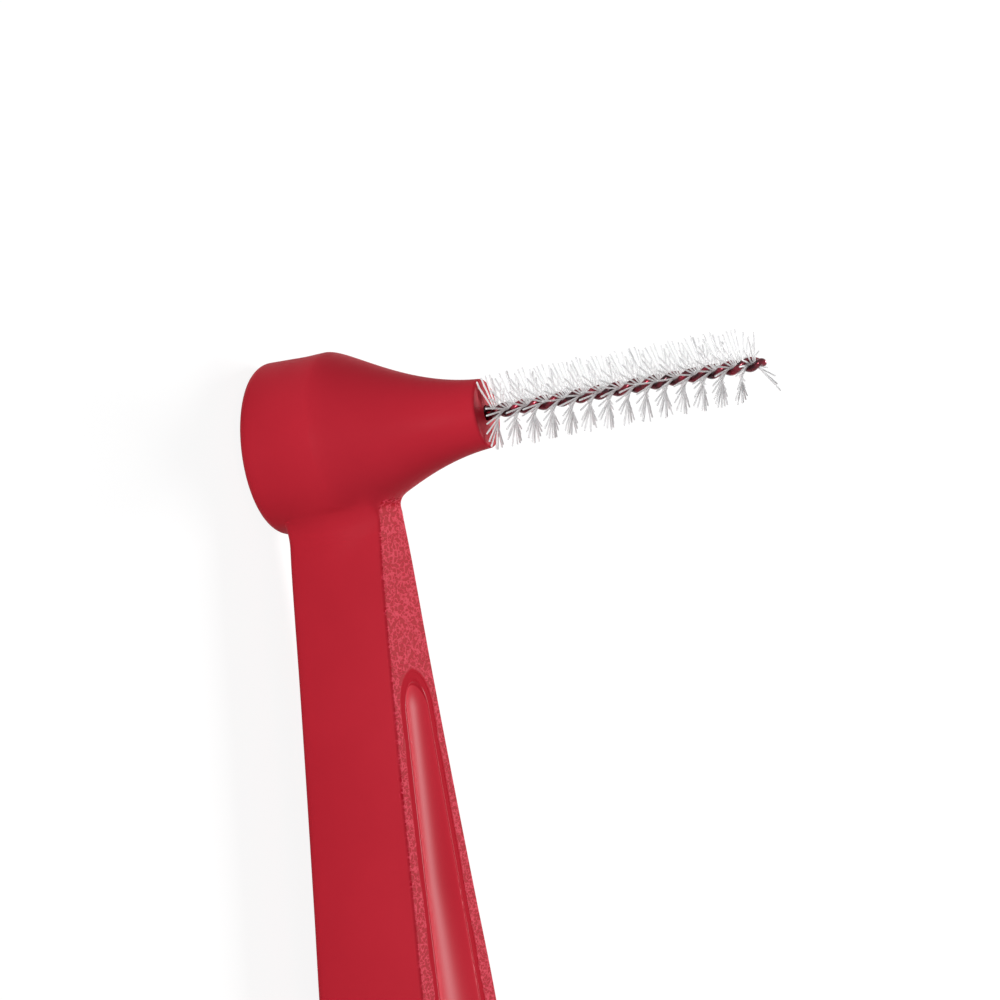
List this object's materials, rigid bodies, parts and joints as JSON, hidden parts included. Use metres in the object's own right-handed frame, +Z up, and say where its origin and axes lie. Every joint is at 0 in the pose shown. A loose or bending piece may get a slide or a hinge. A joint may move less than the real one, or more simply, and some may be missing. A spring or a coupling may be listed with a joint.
{
  "type": "interdental brush",
  "caption": "Angled interdental brush: a twisted-in-wire bristle stem in the tapering snout of a barrel head on a long flared handle with a textured front and a thumb recess.",
  "frame": {"origin": "centre of the bounding box, on the flat surface that the brush lies on, back down", "axes": "+X runs along the handle from the head to the lower end, +Z is up and is the way the brush points, +Y is across the handle"},
  "size_m": [0.1502, 0.0096, 0.0194],
  "materials": {
    "handle_plastic": "red moulded polypropylene, satin, with a spark-grained front face",
    "wire_steel": "drawn stainless steel wire",
    "wire_coating": "thin dark red plastic coating, glossy",
    "filament_nylon": "clear white nylon filament"
  },
  "bodies": {
    "root": {"handle": "handle_plastic", "stem_wire": "wire_steel", "stem_coating": "wire_coating", "filament_tuft_01": "filament_nylon", "filament_tuft_02": "filament_nylon", "filament_tuft_03": "filament_nylon", "filament_tuft_04": "filament_nylon", "filament_tuft_05": "filament_nylon", "filament_tuft_06": "filament_nylon", "filament_tuft_07": "filament_nylon", "filament_tuft_08": "filament_nylon", "filament_tuft_09": "filament_nylon", "filament_tuft_10": "filament_nylon", "filament_tuft_11": "filament_nylon", "filament_tuft_12": "filament_nylon", "filament_tuft_13": "filament_nylon", "filament_tuft_14": "filament_nylon", "filament_tuft_15": "filament_nylon"}
  },
  "joints": []
}
